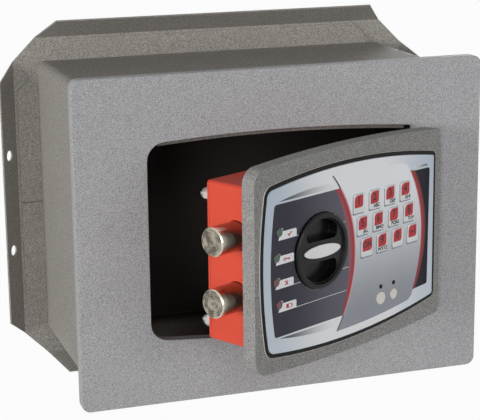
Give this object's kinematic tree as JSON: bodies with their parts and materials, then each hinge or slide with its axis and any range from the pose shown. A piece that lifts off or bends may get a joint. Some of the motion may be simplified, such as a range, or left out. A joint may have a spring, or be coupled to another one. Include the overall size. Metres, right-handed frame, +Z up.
{
  "type": "wall safe",
  "caption": "Wall safe with a thick front plate, flanged sheet body, barrel-shaped hinged door, keypad panel, turning knob, round sliding bolts and goose-neck hinges.",
  "frame": {"origin": "middle of the rear face of the back panel", "axes": "+Z up, -Y toward the front plate and the user, +X toward the hinge side"},
  "size_m": [0.3896, 0.3006, 0.3136],
  "materials": {
    "plate_paint": "textured",
    "body_paint": "textured",
    "inner_paint": "textured",
    "red_paint": "satin",
    "steel": "turned",
    "black_plastic": "gloss",
    "black_rubber": "satin",
    "panel_plastic": "satin",
    "key_plastic": "satin",
    "white_plastic": "gloss",
    "green_lens": "gloss",
    "red_lens": "gloss",
    "board_green": "matte",
    "contact_metal": "satin",
    "cell_skin": "gloss"
  },
  "bodies": {
    "safe_body": {"front_plate": "plate_paint", "body_wrapper": "body_paint", "back_panel": "body_paint", "lock_strike": "steel", "door_stop": "body_paint", "hinge_bracket_upper": "inner_paint", "hinge_bracket_lower": "inner_paint", "hinge_pin_upper": "steel", "hinge_pin_lower": "steel"},
    "door": {"door_plate": "plate_paint", "panel_gasket": "black_rubber", "control_panel": "panel_plastic", "keypad_board": "board_green", "lens_1": "green_lens", "lens_2": "green_lens", "lens_3": "red_lens", "lens_4": "red_lens", "contact_large": "contact_metal", "contact_small": "contact_metal", "hinge_arm_upper": "inner_paint", "hinge_arm_lower": "inner_paint", "bolt_box": "red_paint", "box_cover": "red_paint", "dome_nut_1": "steel", "dome_nut_2": "steel", "dome_nut_3": "steel", "dome_nut_4": "steel", "bolt_guide": "steel", "solenoid_body": "black_plastic", "circuit_board": "board_green", "battery_holder": "black_plastic", "battery_1": "cell_skin", "battery_2": "cell_skin", "battery_3": "cell_skin", "battery_4": "cell_skin"},
    "knob_work": {"knob": "black_plastic", "knob_badge": "white_plastic", "knob_spindle": "steel", "bolt_cam": "steel"},
    "bolt_work": {"bolt_upper": "steel", "bolt_lower": "steel", "bolt_bar": "steel"},
    "plunger": {"solenoid_plunger": "steel"},
    "button_1": {"key_1": "key_plastic"},
    "button_2": {"key_2": "key_plastic"},
    "button_3": {"key_3": "key_plastic"},
    "button_4": {"key_4": "key_plastic"},
    "button_5": {"key_5": "key_plastic"},
    "button_6": {"key_6": "key_plastic"},
    "button_7": {"key_7": "key_plastic"},
    "button_8": {"key_8": "key_plastic"},
    "button_on": {"key_on": "key_plastic"},
    "button_9": {"key_9": "key_plastic"},
    "button_0": {"key_0": "key_plastic"},
    "button_enter": {"key_enter": "key_plastic"}
  },
  "joints": [
    {"name": "door_swing", "type": "hinge", "parent": "safe_body", "child": "door", "pos_m": [0.1455, -0.1535, 0], "axis": [0, 0, 1], "range_deg": [-27.65, 57]},
    {"name": "bolt_slide", "type": "slide", "parent": "door", "child": "bolt_work", "axis": [0.8858, 0.4641, 0], "range_m": [0, 0.017]},
    {"name": "knob_turn", "type": "hinge", "parent": "door", "child": "knob_work", "pos_m": [-0.00263, -0.26779, 0.0057], "axis": [-0.4641, 0.8858, 0], "range_deg": [0, 60]},
    {"name": "plunger_lift", "type": "slide", "parent": "door", "child": "plunger", "axis": [0, 0, 1], "range_m": [0, 0.005]},
    {"name": "press_1", "type": "slide", "parent": "door", "child": "button_1", "axis": [-0.4641, 0.8858, 0], "range_m": [0, 0.0008], "stiffness_N_per_m": 400},
    {"name": "press_2", "type": "slide", "parent": "door", "child": "button_2", "axis": [-0.4641, 0.8858, 0], "range_m": [0, 0.0008], "stiffness_N_per_m": 400},
    {"name": "press_3", "type": "slide", "parent": "door", "child": "button_3", "axis": [-0.4641, 0.8858, 0], "range_m": [0, 0.0008], "stiffness_N_per_m": 400},
    {"name": "press_4", "type": "slide", "parent": "door", "child": "button_4", "axis": [-0.4641, 0.8858, 0], "range_m": [0, 0.0008], "stiffness_N_per_m": 400},
    {"name": "press_5", "type": "slide", "parent": "door", "child": "button_5", "axis": [-0.4641, 0.8858, 0], "range_m": [0, 0.0008], "stiffness_N_per_m": 400},
    {"name": "press_6", "type": "slide", "parent": "door", "child": "button_6", "axis": [-0.4641, 0.8858, 0], "range_m": [0, 0.0008], "stiffness_N_per_m": 400},
    {"name": "press_7", "type": "slide", "parent": "door", "child": "button_7", "axis": [-0.4641, 0.8858, 0], "range_m": [0, 0.0008], "stiffness_N_per_m": 400},
    {"name": "press_8", "type": "slide", "parent": "door", "child": "button_8", "axis": [-0.4641, 0.8858, 0], "range_m": [0, 0.0008], "stiffness_N_per_m": 400},
    {"name": "press_on", "type": "slide", "parent": "door", "child": "button_on", "axis": [-0.4641, 0.8858, 0], "range_m": [0, 0.0008], "stiffness_N_per_m": 400},
    {"name": "press_9", "type": "slide", "parent": "door", "child": "button_9", "axis": [-0.4641, 0.8858, 0], "range_m": [0, 0.0008], "stiffness_N_per_m": 400},
    {"name": "press_0", "type": "slide", "parent": "door", "child": "button_0", "axis": [-0.4641, 0.8858, 0], "range_m": [0, 0.0008], "stiffness_N_per_m": 400},
    {"name": "press_enter", "type": "slide", "parent": "door", "child": "button_enter", "axis": [-0.4641, 0.8858, 0], "range_m": [0, 0.0008], "stiffness_N_per_m": 400}
  ],
  "couplings": [
    {"joint": "knob_turn", "follows": "bolt_slide", "rad_per_m": 61.59}
  ]
}
